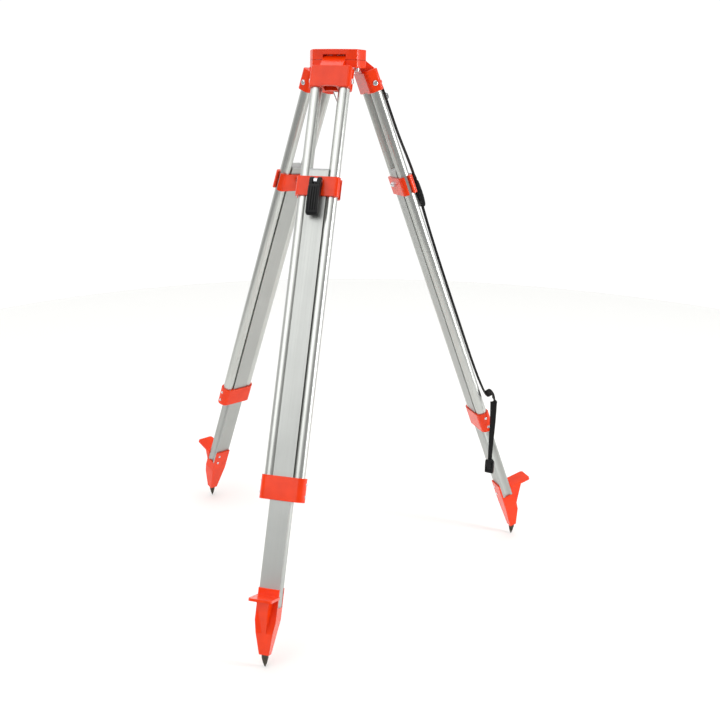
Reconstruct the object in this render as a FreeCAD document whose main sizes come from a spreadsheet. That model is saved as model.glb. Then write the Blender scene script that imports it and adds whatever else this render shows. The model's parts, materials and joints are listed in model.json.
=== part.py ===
"""Surveyor's tripod: a flat orange head, three folding and telescoping aluminium legs with
quick clamps, spiked shoes, a captive instrument screw with a plumb hook, and a carry strap.

Frame: origin at the centre of the head's top face, Z up, front leg towards -Y.
Each leg is drawn in its own frame: origin on the hinge pin, X across the leg, -Y outwards,
-Z down the leg. The leg's Placement leans it out and turns it to its place round the head.
"""

import FreeCAD, Part
import Sketcher
import math
import os

doc = FreeCAD.newDocument("tripod")

DIMENSIONS = [
    ("flat_apothem", 44.0, "centre of head to middle of a long side"),
    ("flat_bow_radius", 236.0, "radius of the slightly bowed long sides"),
    ("corner_apothem", 58.0, "centre of head to middle of a short side"),
    ("corner_bow_radius", 90.0, "radius of the bowed short sides"),
    ("head_edge_round", 6.0, "rounding of the head's upright edges"),
    ("flange_thickness", 10.0, "solid plate above the hinge slots"),
    ("pin_drop", 19.5, "hinge pins below the top face"),
    ("seam_gap", 0.4, "gap between the head and its hinge caps"),
    ("head_height", 33.5, "top face to underside of the hinge caps"),
    ("slot_width", 45.0, "hinge slot in the head"),
    ("slot_inner_radius", 24.0, "how far in the hinge slots reach"),
    ("head_hole_radius", 19.0, "hole for the instrument screw"),
    ("cap_inner_radius", 31.0, "inner face of the hinge caps"),
    ("pin_circle_radius", 34.0, "hinge pins from the head's axis"),
    ("hinge_pin_radius", 4.0, "hinge pin"),
    ("hinge_pin_length", 76.0, "hinge pin"),
    ("hinge_play", 0.05, "running clearance of hinge pins"),
    ("cap_bolt_circle", 46.0, "cap bolts from the head's axis"),
    ("cap_bolt_radius", 3.0, "cap bolt shank"),
    ("cap_bolt_head_radius", 5.0, "cap bolt head"),
    ("cap_bolt_head_height", 6.0, "cap bolt head"),
    ("arm_half_width", 11.0, "screw arm"),
    ("arm_thickness", 4.0, "screw arm"),
    ("arm_gap", 0.3, "air between hinge cap and screw arm"),
    ("screw_radius", 7.94, "5/8 inch instrument screw"),
    ("screw_thread_length", 28.0, "threaded end of the instrument screw"),
    ("screw_tip", 1.2, "chamfered tip of the screw above the head's top face"),
    ("screw_bore_radius", 3.5, "hole through the instrument screw"),
    ("screw_shank_radius", 7.0, "plain shank of the screw, in the bush"),
    ("screw_length", 69.0, "instrument screw below the head's top face"),
    ("bush_radius", 10.5, "bush outer radius"),
    ("bush_flange_radius", 13.0, "bush flange"),
    ("bush_play", 0.06, "running clearance of the bush"),
    ("knob_radius", 16.0, "tightening knob"),
    ("knob_height", 15.0, "tightening knob"),
    ("knob_top_drop", 54.0, "top of the knob below the head's top face"),
    ("bail_wire", 1.1, "radius of the plumb bail's wire"),
    ("lean_angle", 21.4, "lean of each leg as it stands"),
    ("leg_offset", 10.0, "tube plane outside the hinge pin"),
    ("tube_radius", 11.0, "leg tube outside"),
    ("tube_bore", 9.8, "leg tube inside"),
    ("tube_spacing", 54.0, "between the two tubes of a leg"),
    ("tube_top", 25.0, "start of the tubes below the pin"),
    ("tube_bottom", 830.0, "end of the tubes below the pin"),
    ("casting_width", 81.0, "hinge casting"),
    ("casting_depth", 29.0, "hinge casting"),
    ("casting_top", 21.0, "shoulder of the casting below the pin"),
    ("casting_bottom", 63.0, "bottom of the casting below the pin"),
    ("casting_round", 8.5, "upright edges of the casting"),
    ("casting_hollow_width", 27.0, "hollow between the tubes"),
    ("casting_hollow_depth", 19.0, "hollow between the tubes"),
    ("tongue_width", 44.4, "hinge tongue"),
    ("barrel_radius", 8.0, "hinge barrel"),
    ("side_screw_radius", 5.3, "head of the side screws"),
    ("side_screw_drop", 47.0, "side screws below the pin"),
    ("collar_top", 789.5, "top of the lower collar below the pin"),
    ("collar_height", 42.6, "lower collar"),
    ("collar_width", 84.0, "lower collar"),
    ("collar_depth", 28.6, "lower collar"),
    ("collar_round", 13.6, "upright edges of the collar"),
    ("profile_width", 37.5, "inner leg profile"),
    ("profile_depth", 23.0, "inner leg profile"),
    ("profile_groove", 11.35, "side groove radius, round the tubes"),
    ("profile_hollow_width", 27.2, "inside of the profile"),
    ("profile_hollow_depth", 19.8, "inside of the profile"),
    ("profile_top", 225.0, "top of the profile below the pin"),
    ("profile_bottom", 1017.9, "end of the profile, in the shoe"),
    ("cap_thickness", 3.0, "end cap of the profile"),
    ("clamp_top", 237.6, "top of the clamp plates below the pin"),
    ("clamp_height", 36.6, "clamp plates"),
    ("clamp_width", 84.0, "clamp plates"),
    ("clamp_depth", 30.0, "over both clamp plates"),
    ("clamp_round", 9.5, "upright edges of the clamp plates"),
    ("clamp_split", 9.5, "gap between the two clamp plates"),
    ("clamp_play", 0.1, "clamp plates on the tubes"),
    ("bolt_radius", 3.0, "clamp eye bolt"),
    ("bolt_drop", 11.5, "eye bolt below the top of the clamp plates"),
    ("lever_pivot", 22.6, "lever pivot outside the tube plane"),
    ("lever_width", 23.0, "clamp lever"),
    ("lever_cam_radius", 7.2, "cam of the lever"),
    ("lever_length", 66.0, "lever below its pivot"),
    ("lever_slot", 7.0, "slot between the lever's ears"),
    ("lever_pin_radius", 2.5, "lever cross pin"),
    ("eye_radius", 5.5, "eye of the bolt"),
    ("eye_width", 6.4, "eye of the bolt"),
    ("shoe_top", 985.0, "top of the shoe below the pin"),
    ("shoe_width", 38.5, "shoe"),
    ("shoe_depth", 30.0, "shoe"),
    ("shoe_straight", 55.0, "length of the shoe before it narrows"),
    ("shoe_waist", 77.0, "where the front of the shoe turns in"),
    ("shoe_length", 116.0, "shoe"),
    ("shoe_slot", 33.0, "depth of the shoe's side slots"),
    ("shoe_tip_width", 18.0, "bottom of the shoe"),
    ("step_length", 48.0, "step plate outside the shoe"),
    ("step_width", 42.0, "step plate"),
    ("step_thickness", 4.6, "step plate"),
    ("step_drop", 12.0, "step plate below the top of the shoe"),
    ("gusset_width", 23.0, "gusset under the step plate"),
    ("spike_radius", 6.2, "spike"),
    ("spike_exposed", 24.0, "spike below the shoe"),
    ("rivet_radius", 3.0, "rivet heads"),
    ("lug_drop", 51.0, "bottom of the strap lug below the pin"),
    ("lug_height", 5.0, "strap lug on the right hinge casting"),
    ("strap_width", 16.0, "carry strap webbing"),
    ("strap_thickness", 1.6, "carry strap webbing"),
    ("strap_across", 20.0, "strap's centre line from the middle of the leg"),
]

sheet = doc.addObject("Spreadsheet::Sheet", "Dims")
for row, (alias, value, note) in enumerate(DIMENSIONS, start=1):
    sheet.set(f"A{row}", alias)
    sheet.set(f"B{row}", str(value))
    sheet.set(f"C{row}", note)
    sheet.setAlias(f"B{row}", alias)
doc.recompute()

X, Y, Z = FreeCAD.Vector(1, 0, 0), FreeCAD.Vector(0, 1, 0), FreeCAD.Vector(0, 0, 1)
LEGS = {"front": 0.0, "right": 120.0, "left": -120.0}
CORNERS = {"back": 180.0, "right": 60.0, "left": -60.0}
TURN = {
    "X": FreeCAD.Rotation(Y, 90),
    "Y": FreeCAD.Rotation(X, -90),
    "Z": FreeCAD.Rotation(),
}
nodes = []


def size(alias):
    """One driving dimension, in millimetres, read from the sheet."""
    return float(sheet.get(alias))


def formula(text):
    """An expression of bare aliases, with each alias pointed at the sheet."""
    words = sorted((row[0] for row in DIMENSIONS), key=len, reverse=True)
    parts = []
    word = ""
    for letter in text + " ":
        if letter.isalnum() or letter == "_":
            word += letter
            continue
        parts.append(f"Dims.{word}" if word in words else word)
        parts.append(letter)
        word = ""
    return "".join(parts).strip()


def bind(item, **sizes):
    """Bind properties of an object to formulas of the sheet's aliases."""
    for name, text in sizes.items():
        item.setExpression(name, formula(str(text)))
    return item


def at(item, x="0", y="0", z="0", axis="Z"):
    """Put a primitive's base point at formulas of the aliases, its Z turned onto axis."""
    item.Placement.Rotation = TURN[axis]
    for letter, text in zip("xyz", (x, y, z)):
        item.setExpression(f"Placement.Base.{letter}", formula(str(text)))
    return item


def box(name, wide, deep, high, x, y, z):
    item = doc.addObject("Part::Box", name)
    return at(bind(item, Length=wide, Width=deep, Height=high), x, y, z)


def rod(name, radius, length, x="0", y="0", z="0", axis="Z"):
    item = doc.addObject("Part::Cylinder", name)
    return at(bind(item, Radius=radius, Height=length), x, y, z, axis)


def ball(name, radius, x, y, z):
    item = doc.addObject("Part::Sphere", name)
    return at(bind(item, Radius=radius), x, y, z)


def taper(name, start, end, top, bottom):
    """A wedge down the leg from start to end; top and bottom are (half width, y0, y1)."""
    item = doc.addObject("Part::Wedge", name)
    bind(item, Ymin=start, Xmin=f"-({top[0]})", Xmax=top[0], Zmin=top[1], Zmax=top[2])
    bind(item, Ymax=end, X2min=f"-({bottom[0]})", X2max=bottom[0], Z2min=bottom[1], Z2max=bottom[2])
    item.Placement.Rotation = FreeCAD.Rotation(X, -90)
    return item


def joined(name, items):
    item = doc.addObject("Part::MultiFuse", name)
    item.Shapes = items
    return item


def common(name, items):
    item = doc.addObject("Part::MultiCommon", name)
    item.Shapes = items
    return item


def cut(name, base, tools):
    item = doc.addObject("Part::Cut", name)
    item.Base = base
    item.Tool = tools[0] if len(tools) == 1 else joined(name + "_tools", tools)
    return item


def group(name, items):
    item = doc.addObject("Part::Compound", name)
    item.Links = items
    return item


def turned(name, item, angle):
    """A group holding one item, turned about Z."""
    holder = group(name, [item])
    holder.Placement = FreeCAD.Placement(FreeCAD.Vector(), FreeCAD.Rotation(Z, angle))
    return holder


def along(edge, axis):
    """Whether a straight edge runs along an axis."""
    if not isinstance(edge.Curve, Part.Line):
        return False
    return abs(abs(edge.Curve.Direction.dot(axis)) - 1) < 1e-6


def rounded(name, base, radius, test, kind="Part::Fillet"):
    """Round or chamfer the edges of base that pass the test."""
    doc.recompute()
    chosen = [n for n, edge in enumerate(base.Shape.Edges, start=1) if test(edge)]
    item = doc.addObject(kind, name)
    item.Base = base
    item.Edges = [(n, radius, radius) for n in chosen]
    return item


def polygon(body, name, role, corners, offset="0"):
    """A closed sketch of straight sides on one of the body's own planes, every corner bound."""
    sketch = body.newObject("Sketcher::SketchObject", name)
    plane = [p for p in body.Origin.OriginFeatures if p.Role == role][0]
    sketch.AttachmentSupport = [(plane, "")]
    sketch.MapMode = "FlatFace"
    sketch.setExpression("AttachmentOffset.Base.z", formula(offset))
    count = len(corners)
    ring = []
    for n in range(count):
        angle = 2 * math.pi * n / count
        ring.append(FreeCAD.Vector(40 * math.cos(angle), 40 * math.sin(angle), 0))
    for n in range(count):
        sketch.addGeometry(Part.LineSegment(ring[n], ring[(n + 1) % count]), False)
    for n in range(count):
        sketch.addConstraint(Sketcher.Constraint("Coincident", n, 2, (n + 1) % count, 1))
    for n, (across, up) in enumerate(corners):
        for kind, text, start in (("DistanceX", across, ring[n].x), ("DistanceY", up, ring[n].y)):
            index = sketch.addConstraint(Sketcher.Constraint(kind, -1, 1, n, 1, start))
            sketch.setExpression(f"Constraints[{index}]", formula(text))
    return sketch


def slab(name, corners, width, offset="0"):
    """A PartDesign pad, across X, of an outline drawn in the leg's side view (Y, Z)."""
    body = doc.addObject("PartDesign::Body", name)
    sketch = polygon(body, name + "_outline", "YZ_Plane", corners, offset)
    pad = body.newObject("PartDesign::Pad", name + "_pad")
    pad.Profile = sketch
    pad.Midplane = True
    pad.setExpression("Length", formula(width))
    return body


def flat_edge(height):
    """A test for edges that lie level at a height."""
    def test(edge):
        box_of_edge = edge.BoundBox
        return box_of_edge.ZLength < 1e-6 and abs(box_of_edge.ZMin - height) < 1e-4
    return test


def upright_at(y):
    """A test for upright edges at one y."""
    return lambda edge: along(edge, Z) and abs(edge.Vertexes[0].Y - y) < 1e-3


def rim_at(letter, level):
    """A test for edges that lie flat at one level of the X or the Y axis."""
    def test(edge):
        bounds = edge.BoundBox
        low, high = getattr(bounds, letter + "Min"), getattr(bounds, letter + "Max")
        return high - low < 1e-6 and abs(low - level) < 1e-4
    return test


def keep(name, item, placement=None):
    """Make an object a node: give it its name as Label, and its place."""
    item.Label = name
    if placement is not None:
        item.Placement = placement
    nodes.append(item)
    return item


# ---------------------------------------------------------------- head

def plan_solid(name, bottom, high):
    """The head's plan, three long and three short bowed sides, as an upright solid."""
    walls = []
    for kind, turn in (("flat", 0), ("corner", 60)):
        for n in range(3):
            wall = doc.addObject("Part::Cylinder", f"{name}_{kind}_{n}")
            bind(wall, Radius=f"{kind}_bow_radius", Height=high)
            angle = turn + 120 * n
            reach = f"({kind}_bow_radius - {kind}_apothem)"
            wall.setExpression("Placement.Base.x", formula(f"-{reach} * sin({angle} deg)"))
            wall.setExpression("Placement.Base.y", formula(f"{reach} * cos({angle} deg)"))
            wall.setExpression("Placement.Base.z", formula(bottom))
            walls.append(wall)
    plan = common(name, walls)
    return rounded(name + "_round", plan, size("head_edge_round"), lambda edge: along(edge, Z))


def hinge_spaces(name, top):
    """Slots for the three tongues and bores for the three pins, cut from the head."""
    tools = []
    for leg, angle in LEGS.items():
        slot = box(f"{name}_{leg}_slot", "slot_width", "60", f"head_height + 1 + ({top})",
                   "-slot_width / 2", "-slot_inner_radius - 60", "-head_height - 1")
        bore = rod(f"{name}_{leg}_bore", "hinge_pin_radius", "hinge_pin_length",
                   "-hinge_pin_length / 2", "-pin_circle_radius", "-pin_drop", "X")
        tools.append(turned(f"{name}_{leg}_space", joined(f"{name}_{leg}_pair", [slot, bore]), angle))
    for corner, angle in CORNERS.items():
        hole = rod(f"{name}_{corner}_hole", "cap_bolt_radius", "head_height - 5",
                   "0", "-cap_bolt_circle", "-head_height - 1")
        tools.append(turned(f"{name}_{corner}_bolt", hole, angle))
    return tools


def head_plate():
    solid = plan_solid("head_plan", "-pin_drop + seam_gap / 2", "pin_drop - seam_gap / 2")
    solid = rounded("head_top_edge", solid, 1.5, flat_edge(0))
    tools = hinge_spaces("head", "-flange_thickness")
    tools.append(rod("head_hole", "head_hole_radius", "60", z="-40"))
    tools.append(rod("head_hollow", "cap_inner_radius", "40", z="-40 - flange_thickness"))
    keep("head_plate", cut("head_plate", solid, tools))


def hinge_caps():
    high = "head_height - pin_drop - seam_gap / 2"
    solid = plan_solid("caps_plan", "-head_height", high)
    solid = rounded("caps_low_edge", solid, 2.0, flat_edge(-size("head_height")))
    tools = hinge_spaces("caps", "0")
    tools.append(rod("caps_hollow", "cap_inner_radius", "60", z="-50"))
    keep("hinge_caps", cut("hinge_caps", solid, tools))


def hinge_pins():
    pins = []
    for leg, angle in LEGS.items():
        pin = rod(f"{leg}_pin", "hinge_pin_radius", "hinge_pin_length",
                  "-hinge_pin_length / 2", "-pin_circle_radius", "-pin_drop", "X")
        pins.append(turned(f"{leg}_pin_place", pin, angle))
    keep("hinge_pins", group("hinge_pins", pins))


def cap_bolts():
    bolts = []
    for corner, angle in CORNERS.items():
        drop = "arm_gap + arm_thickness" if corner == "back" else "0"
        shank = rod(f"{corner}_shank", "cap_bolt_radius", f"head_height - 5 + ({drop})",
                    "0", "-cap_bolt_circle", f"-head_height - 1 - ({drop})")
        head = rod(f"{corner}_head", "cap_bolt_head_radius", "cap_bolt_head_height",
                   "0", "-cap_bolt_circle", f"-head_height - cap_bolt_head_height - ({drop})")
        socket = rod(f"{corner}_socket", "cap_bolt_radius * 0.8", "3",
                     "0", "-cap_bolt_circle", f"-head_height - cap_bolt_head_height - ({drop})")
        rounded_head = rounded(f"{corner}_head_round", head, 0.8,
                               flat_edge(head_low(drop)))
        bolt = cut(f"{corner}_bolt", joined(f"{corner}_solid", [shank, rounded_head]), [socket])
        bolts.append(turned(f"{corner}_bolt_place", bolt, angle))
    keep("cap_bolts", group("cap_bolts", bolts))


def head_low(drop):
    """Height of a cap bolt's lowest edge."""
    low = -size("head_height") - size("cap_bolt_head_height")
    return low if drop == "0" else low - size("arm_gap") - size("arm_thickness")


def screw_arm():
    low = "-head_height - arm_gap - arm_thickness"
    bar = box("arm_bar", "2 * arm_half_width", "cap_bolt_circle", "arm_thickness",
              "-arm_half_width", "0", low)
    ends = [rod("arm_pivot_end", "arm_half_width", "arm_thickness", "0", "cap_bolt_circle", low),
            rod("arm_screw_end", "arm_half_width + 3", "arm_thickness", "0", "0", low)]
    holes = [rod("arm_pivot_hole", "cap_bolt_radius + hinge_play", "40",
                 "0", "cap_bolt_circle", "-60"),
             rod("arm_screw_hole", "bush_radius + bush_play", "40", "0", "0", "-60")]
    keep("screw_arm", cut("screw_arm", joined("arm_solid", [bar] + ends), holes))


def screw_bush():
    """Flanged bush: it slides up through the arm and the screw turns in it."""
    tube = rod("bush_tube", "bush_radius", "knob_top_drop - 31", z="-knob_top_drop + 0.5")
    flange = rod("bush_flange", "bush_flange_radius", "1.6", z="-head_height + 0.3")
    bore = rod("bush_bore", "screw_shank_radius + bush_play", "60", z="-70")
    keep("screw_bush", cut("screw_bush", joined("bush_solid", [tube, flange]), [bore]))


def instrument_screw():
    thread = rod("screw_thread", "screw_radius", "screw_thread_length + screw_tip",
                 z="-screw_thread_length")
    tip = size("screw_tip")
    thread = rounded("screw_tip", thread, tip, flat_edge(tip), "Part::Chamfer")
    shank = rod("screw_shank", "screw_shank_radius", "screw_length", z="-screw_length")
    bore = rod("screw_bore", "screw_bore_radius", "screw_length + 2 * screw_tip", z="-screw_length")
    solid = joined("screw_solid", [thread, shank])
    keep("instrument_screw", cut("instrument_screw", solid, [bore]))


def screw_knob():
    grip = rod("knob_grip", "knob_radius", "knob_height", z="-knob_top_drop - knob_height")
    low = -size("knob_top_drop") - size("knob_height")
    grip = rounded("knob_grip_round", grip, 1.5, flat_edge(low))
    boss = rod("knob_boss", "knob_radius * 0.6", "8", z="-knob_top_drop - knob_height - 8")
    tools = [rod("knob_bore", "screw_shank_radius", "screw_length", z="-screw_length")]
    for n in range(12):
        notch = rod(f"knob_notch_{n}", "knob_radius * 0.12", "40",
                    "knob_radius * 1.03", "0", "-knob_top_drop - 30")
        tools.append(turned(f"knob_notch_place_{n}", notch, 30 * n))
    tools.append(rod("bail_pivot_hole", "bail_wire + hinge_play", "40", "-20", "0",
                     "-knob_top_drop - knob_height - 4", "X"))
    keep("screw_knob", cut("screw_knob", joined("knob_solid", [grip, boss]), tools))


def wire(name, points, radius):
    """A bent round wire through points, mitred at each bend."""
    path = Part.makePolygon([FreeCAD.Vector(*point) for point in points])
    start, after = path.Vertexes[0].Point, path.Vertexes[1].Point
    ring = Part.Wire(Part.makeCircle(radius, start, after - start))
    item = doc.addObject("Part::Feature", name)
    item.Shape = path.makePipeShell([ring], True, False, 1)
    return item


def plumb_parts():
    """Bail hung from the knob's boss, and the hook that a plumb line hangs from."""
    pivot = -size("knob_top_drop") - size("knob_height") - 4
    out = size("knob_radius") * 0.6 + 2.0
    low = pivot - 26
    radius = size("bail_wire")
    bail = wire("plumb_bail", [(-out + 4, 0, pivot), (-out, 0, pivot), (-out, 0, pivot - 6),
                               (-2.5, 0, low), (2.5, 0, low), (out, 0, pivot - 6), (out, 0, pivot),
                               (out - 4, 0, pivot)], radius)
    keep("plumb_bail", bail)
    eye = doc.addObject("Part::Torus", "hook_eye")
    bind(eye, Radius1="bail_wire * 2.7", Radius2="bail_wire * 0.85")
    eye.Placement = FreeCAD.Placement(FreeCAD.Vector(0, 0, low), FreeCAD.Rotation(Y, 90))
    top = low - radius * 2.7
    hook = wire("hook_wire", [(0, 0, top), (0, 0, top - 30), (0, -3, top - 35),
                              (0, -7, top - 34), (0, -8, top - 29)], radius * 0.7)
    keep("plumb_hook", joined("plumb_hook", [eye, hook]))


# ---------------------------------------------------------------- legs

def leg_placement(leg):
    """The leg's drawing frame, leaned out about its pin and turned round the head."""
    lean = FreeCAD.Placement(FreeCAD.Vector(), FreeCAD.Rotation(X, -size("lean_angle")))
    pin = FreeCAD.Placement(
        FreeCAD.Vector(0, -size("pin_circle_radius"), -size("pin_drop")), FreeCAD.Rotation())
    turn = FreeCAD.Placement(FreeCAD.Vector(), FreeCAD.Rotation(Z, LEGS[leg]))
    offset = FreeCAD.Placement(FreeCAD.Vector(0, -size("leg_offset"), 0), FreeCAD.Rotation())
    return turn.multiply(pin).multiply(lean).multiply(offset)


def both_sides(name, radius, inner, outer, drops):
    """Short rods across X on both sides of a leg, at each drop below the pin."""
    rods = []
    for n, drop in enumerate(drops):
        long = f"({outer}) - ({inner})"
        rods.append(rod(f"{name}_{n}_a", radius, long, inner, "0", f"-({drop})", "X"))
        rods.append(rod(f"{name}_{n}_b", radius, long, f"-({outer})", "0", f"-({drop})", "X"))
    return rods


def tube_bores(name, radius, low, high):
    """Rods on both tube axes, between two heights."""
    return [rod(f"{name}_{side}", radius, f"({high}) - ({low})", f"{sign}tube_spacing / 2", "0", low)
            for side, sign in (("a", "-"), ("b", ""))]


COLLAR_RIVETS = ["collar_top + collar_height / 4", "collar_top + collar_height * 3 / 4"]


def tubes(leg, place):
    solid = tube_bores(leg + "_tube", "tube_radius", "-tube_bottom", "-tube_top")
    tools = tube_bores(leg + "_inside", "tube_bore", "-tube_bottom - 1", "-tube_top + 1")
    tools += both_sides(leg + "_tube_screw", "side_screw_radius / 2", "30", "45", ["side_screw_drop"])
    tools += both_sides(leg + "_tube_rivet", "rivet_radius / 2", "30", "45", COLLAR_RIVETS)
    pair = joined(leg + "_tube_pair", solid)
    keep(leg + "_tubes", cut(leg + "_tubes", pair, tools), place)


def hinge_casting(leg, place):
    name = leg + "_casting"
    block = box(name + "_block", "casting_width", "casting_depth", "casting_bottom - casting_top",
                "-casting_width / 2", "-casting_depth / 2", "-casting_bottom")
    block = rounded(name + "_upright", block, size("casting_round"), lambda edge: along(edge, Z))
    block = rounded(name + "_low", block, 1.2, flat_edge(-size("casting_bottom")))
    block = rounded(name + "_high", block, 2.0, flat_edge(-size("casting_top")))
    tongue = slab(name + "_tongue", [
        ("-casting_depth / 2 + 0.4", "-casting_top - 8"),
        ("-casting_depth / 2 + 0.4", "-casting_top - 1"),
        ("leg_offset - barrel_radius * 0.71", "barrel_radius * 0.7"),
        ("leg_offset + barrel_radius", "0"),
        ("casting_depth / 2 - 0.4", "-casting_top - 1"),
        ("casting_depth / 2 - 0.4", "-casting_top - 8")], "tongue_width")
    barrel = rod(name + "_barrel", "barrel_radius", "tongue_width",
                 "-tongue_width / 2", "leg_offset", "0", "X")
    members = [block, tongue, barrel]
    if leg == "right":
        lug = box(name + "_lug", "strap_width + 4", "4", "lug_height",
                  "-strap_across - strap_width / 2 - 2", "-casting_depth / 2 - 3", "-lug_drop")
        members.append(rounded(name + "_lug_round", lug, 1.4,
                               upright_at(-size("casting_depth") / 2 - 3)))
    solid = joined(name + "_solid", members)
    tools = tube_bores(name + "_bore", "tube_radius", "-casting_bottom - 1", "-tube_top")
    tools.append(box(name + "_hollow", "casting_hollow_width", "casting_hollow_depth", "40",
                     "-casting_hollow_width / 2", "-casting_hollow_depth / 2",
                     "-casting_top - 46"))
    tools.append(rod(name + "_pin_bore", "hinge_pin_radius + hinge_play", "60",
                     "-30", "leg_offset", "0", "X"))
    tools.append(rod(name + "_arch", "casting_width", "60", "0", "-30",
                     "-casting_bottom - casting_width + 2.5", "Y"))
    tools += both_sides(name + "_screw_hole", "side_screw_radius / 2", "36", "45",
                        ["side_screw_drop"])
    keep(leg + "_hinge_casting", cut(leg + "_hinge_casting", solid, tools), place)


def button(name, radius, thick, surface, drop, sign):
    """A domed fastener head on the side of a leg, with its shank into the wall."""
    start = surface if sign > 0 else f"-({surface}) - ({thick})"
    head = rod(name + "_disc", radius, thick, start, "0", f"-({drop})", "X")
    face = sign * (float_of(surface) + thick)
    head = rounded(name + "_dome", head, thick * 0.9, rim_at("X", face))
    inner = f"({surface}) - 5" if sign > 0 else f"-({surface})"
    shank = rod(name + "_shank", f"({radius}) / 2", "5", inner, "0", f"-({drop})", "X")
    return joined(name, [head, shank])


def float_of(alias_half):
    """Half of a width given as 'alias / 2'."""
    return size(alias_half.split(" ")[0]) / 2


def side_buttons(leg, place, label, radius, thick, surface, drops):
    heads = []
    for n, drop in enumerate(drops):
        for side, sign in (("a", 1), ("b", -1)):
            heads.append(button(f"{leg}_{label}_{n}{side}", radius, thick, surface, drop, sign))
    keep(f"{leg}_{label}", group(f"{leg}_{label}", heads), place)


def lower_collar(leg, place):
    name = leg + "_collar"
    low = "-collar_top - collar_height"
    block = box(name + "_block", "collar_width", "collar_depth", "collar_height",
                "-collar_width / 2", "-collar_depth / 2", low)
    block = rounded(name + "_upright", block, size("collar_round"), lambda edge: along(edge, Z))
    tools = tube_bores(name + "_bore", "tube_radius", low + " - 1", "-collar_top + 1")
    tools.append(box(name + "_window", "profile_width + 0.6", "profile_depth + 0.6",
                     "collar_height + 2", "-profile_width / 2 - 0.3", "-profile_depth / 2 - 0.3",
                     low + " - 1"))
    tools += both_sides(name + "_hole", "rivet_radius / 2", "36", "45", COLLAR_RIVETS)
    keep(leg + "_lower_collar", cut(leg + "_lower_collar", block, tools), place)


def bolt_line(name, radius, start, end):
    """A rod through the clamp, from outside (start) to inside (end) of the tube plane."""
    return rod(name, radius, f"({start}) + ({end})", "0", f"-({start})",
               "-clamp_top - bolt_drop", "Y")


def inner_profile(leg, place):
    name = leg + "_profile"
    high = "profile_bottom - profile_top"
    block = box(name + "_block", "profile_width", "profile_depth", high,
                "-profile_width / 2", "-profile_depth / 2", "-profile_bottom")
    hollow = box(name + "_hollow", "profile_hollow_width", "profile_hollow_depth", high + " + 2",
                 "-profile_hollow_width / 2", "-profile_hollow_depth / 2", "-profile_bottom - 1")
    tools = tube_bores(name + "_groove", "profile_groove", "-profile_bottom - 1", "-profile_top + 1")
    tools += [hollow, bolt_line(name + "_bolt_hole", "bolt_radius + 0.1", "30", "30")]
    keep(leg + "_inner_profile", cut(leg + "_inner_profile", block, tools), place)


def profile_cap(leg, place):
    name = leg + "_cap"
    plate = box(name + "_plate", "profile_width", "profile_depth", "cap_thickness",
                "-profile_width / 2", "-profile_depth / 2", "-profile_top")
    plug = box(name + "_plug", "profile_hollow_width", "profile_hollow_depth", "8",
               "-profile_hollow_width / 2", "-profile_hollow_depth / 2", "-profile_top - 8")
    tools = tube_bores(name + "_groove", "profile_groove", "-profile_top - 20", "-profile_top + 20")
    solid = joined(name + "_solid", [plate, plug])
    keep(leg + "_profile_cap", cut(leg + "_profile_cap", solid, tools), place)


def clamp_plate(leg, place, label, outer):
    """Half of the quick clamp, wrapped round the fronts (or the backs) of both tubes."""
    name = f"{leg}_{label}"
    low = "-clamp_top - clamp_height"
    thick = "clamp_depth / 2 - clamp_split / 2"
    block = box(name + "_block", "clamp_width", thick, "clamp_height", "-clamp_width / 2",
                "-clamp_depth / 2" if outer else "clamp_split / 2", low)
    face = -size("clamp_depth") / 2 if outer else size("clamp_depth") / 2
    block = rounded(name + "_upright", block, size("clamp_round"), upright_at(face))
    tools = tube_bores(name + "_bore", "tube_radius + clamp_play", low + " - 1", "-clamp_top + 1")
    tools.append(box(name + "_window", "profile_width + 0.2", "profile_depth + 0.1",
                     "clamp_height + 2", "-profile_width / 2 - 0.1", "-profile_depth / 2 - 0.05",
                     low + " - 1"))
    tools.append(bolt_line(name + "_hole", "bolt_radius + 0.1", "30", "30"))
    keep(name, cut(name, block, tools), place)


def clamp_bolt(leg, place):
    """Eye bolt through both plates, with the cross pin that the lever turns on."""
    name = leg + "_bolt"
    pivot = "-clamp_top - bolt_drop"
    shank = bolt_line(name + "_shank", "bolt_radius", "lever_pivot", "clamp_depth / 2 + 5")
    eye = rod(name + "_eye", "eye_radius", "eye_width", "-eye_width / 2", "-lever_pivot", pivot, "X")
    hole = rod(name + "_eye_hole", "lever_pin_radius", "20", "-10", "-lever_pivot", pivot, "X")
    pin = rod(name + "_cross_pin", "lever_pin_radius", "lever_width + 1", "-lever_width / 2 - 0.5",
              "-lever_pivot", pivot, "X")
    bolt = cut(name + "_eye_bolt", joined(name + "_solid", [shank, eye]), [hole])
    keep(leg + "_clamp_bolt", group(leg + "_clamp_bolt", [bolt, pin]), place)


def clamp_nut(leg, place):
    name = leg + "_nut"
    hexagon = doc.addObject("Part::Prism", name + "_hexagon")
    hexagon.Polygon = 6
    bind(hexagon, Circumradius="bolt_radius * 1.92", Height="4.6")
    at(hexagon, "0", "clamp_depth / 2", "-clamp_top - bolt_drop", "Y")
    dome = ball(name + "_dome", "bolt_radius * 1.55", "0", "clamp_depth / 2 + 4.6",
                "-clamp_top - bolt_drop")
    solid = joined(name + "_solid", [hexagon, dome])
    bore = bolt_line(name + "_bore", "bolt_radius", "0", "clamp_depth / 2 + 5")
    keep(leg + "_clamp_nut", cut(leg + "_clamp_nut", solid, [bore]), place)


LEVER_OUTLINE = [(-6.0, -0.04), (3.0, 0.095), (6.6, 0.03), (9.4, -0.18), (10.6, -0.6),
                 (8.6, -0.93), (5.0, -1.0), (-1.4, -0.97), (-3.6, -0.6), (-4.8, -0.2)]


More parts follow.
